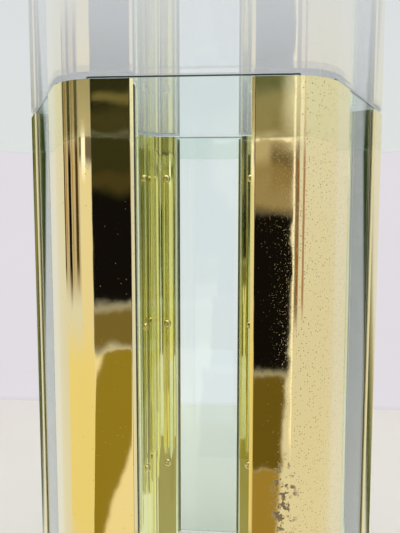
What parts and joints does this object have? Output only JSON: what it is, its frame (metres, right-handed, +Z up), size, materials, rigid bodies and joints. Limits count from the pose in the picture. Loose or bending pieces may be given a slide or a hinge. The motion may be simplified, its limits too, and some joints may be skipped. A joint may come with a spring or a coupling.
{
  "type": "pedestal table",
  "caption": "Hexagonal pedestal table: bent brass corner columns hold upright glass panes, and a round glass top lifts off. Levelling glides screw in below.",
  "frame": {"origin": "on the floor at the centre of the pedestal, level with the underside of the glides", "axes": "+Z up; the pedestal's front pane looks along -Y; two of its six columns lie on the X axis"},
  "size_m": [1.2698, 1.27, 0.7602],
  "materials": {
    "polished_brass": "mirror polished and lacquered, aged with fine dark pits",
    "screw_brass": "polished round-head screws",
    "pane_glass": "clear float glass with a pale green cast",
    "top_glass": "clear plate glass, polished edge",
    "poplar": "planed wood stained black",
    "zinc_plate": "zinc plated",
    "nylon": "moulded nylon",
    "clear_bumper": "clear silicone",
    "seat_rubber": "cut rubber strip"
  },
  "bodies": {
    "pedestal": {"column_skin_front_left": "polished_brass", "core_post_front_left": "poplar", "inner_cover_front_left": "polished_brass", "cover_screws_front_left": "screw_brass", "foot_plate_front_left": "zinc_plate", "top_bumper_front_left": "clear_bumper", "column_skin_front_right": "polished_brass", "core_post_front_right": "poplar", "inner_cover_front_right": "polished_brass", "cover_screws_front_right": "screw_brass", "foot_plate_front_right": "zinc_plate", "top_bumper_front_right": "clear_bumper", "column_skin_right": "polished_brass", "core_post_right": "poplar", "inner_cover_right": "polished_brass", "cover_screws_right": "screw_brass", "foot_plate_right": "zinc_plate", "top_bumper_right": "clear_bumper", "column_skin_back_right": "polished_brass", "core_post_back_right": "poplar", "inner_cover_back_right": "polished_brass", "cover_screws_back_right": "screw_brass", "foot_plate_back_right": "zinc_plate", "top_bumper_back_right": "clear_bumper", "column_skin_back_left": "polished_brass", "core_post_back_left": "poplar", "inner_cover_back_left": "polished_brass", "cover_screws_back_left": "screw_brass", "foot_plate_back_left": "zinc_plate", "top_bumper_back_left": "clear_bumper", "column_skin_left": "polished_brass", "core_post_left": "poplar", "inner_cover_left": "polished_brass", "cover_screws_left": "screw_brass", "foot_plate_left": "zinc_plate", "top_bumper_left": "clear_bumper", "glass_pane_front": "pane_glass", "glass_pane_front_right": "pane_glass", "glass_pane_back_right": "pane_glass", "glass_pane_back": "pane_glass", "glass_pane_back_left": "pane_glass", "glass_pane_front_left": "pane_glass", "pane_seats": "seat_rubber", "foot_plate_screws": "zinc_plate"},
    "glide_front_left": {"levelling_glide_front_left": "zinc_plate", "glide_pad_front_left": "nylon"},
    "glide_front_right": {"levelling_glide_front_right": "zinc_plate", "glide_pad_front_right": "nylon"},
    "glide_right": {"levelling_glide_right": "zinc_plate", "glide_pad_right": "nylon"},
    "glide_back_right": {"levelling_glide_back_right": "zinc_plate", "glide_pad_back_right": "nylon"},
    "glide_back_left": {"levelling_glide_back_left": "zinc_plate", "glide_pad_back_left": "nylon"},
    "glide_left": {"levelling_glide_left": "zinc_plate", "glide_pad_left": "nylon"},
    "table_top": {"glass_top": "top_glass"}
  },
  "joints": [
    {"name": "top_lift", "type": "slide", "parent": "pedestal", "child": "table_top", "axis": [0, 0, 1], "range_m": [0, 0.06]},
    {"name": "glide_screw_front_left", "type": "slide", "parent": "pedestal", "child": "glide_front_left", "axis": [0, 0, 1], "range_m": [-0.01, 0]},
    {"name": "glide_screw_front_right", "type": "slide", "parent": "pedestal", "child": "glide_front_right", "axis": [0, 0, 1], "range_m": [-0.01, 0]},
    {"name": "glide_screw_right", "type": "slide", "parent": "pedestal", "child": "glide_right", "axis": [0, 0, 1], "range_m": [-0.01, 0]},
    {"name": "glide_screw_back_right", "type": "slide", "parent": "pedestal", "child": "glide_back_right", "axis": [0, 0, 1], "range_m": [-0.01, 0]},
    {"name": "glide_screw_back_left", "type": "slide", "parent": "pedestal", "child": "glide_back_left", "axis": [0, 0, 1], "range_m": [-0.01, 0]},
    {"name": "glide_screw_left", "type": "slide", "parent": "pedestal", "child": "glide_left", "axis": [0, 0, 1], "range_m": [-0.01, 0]}
  ]
}
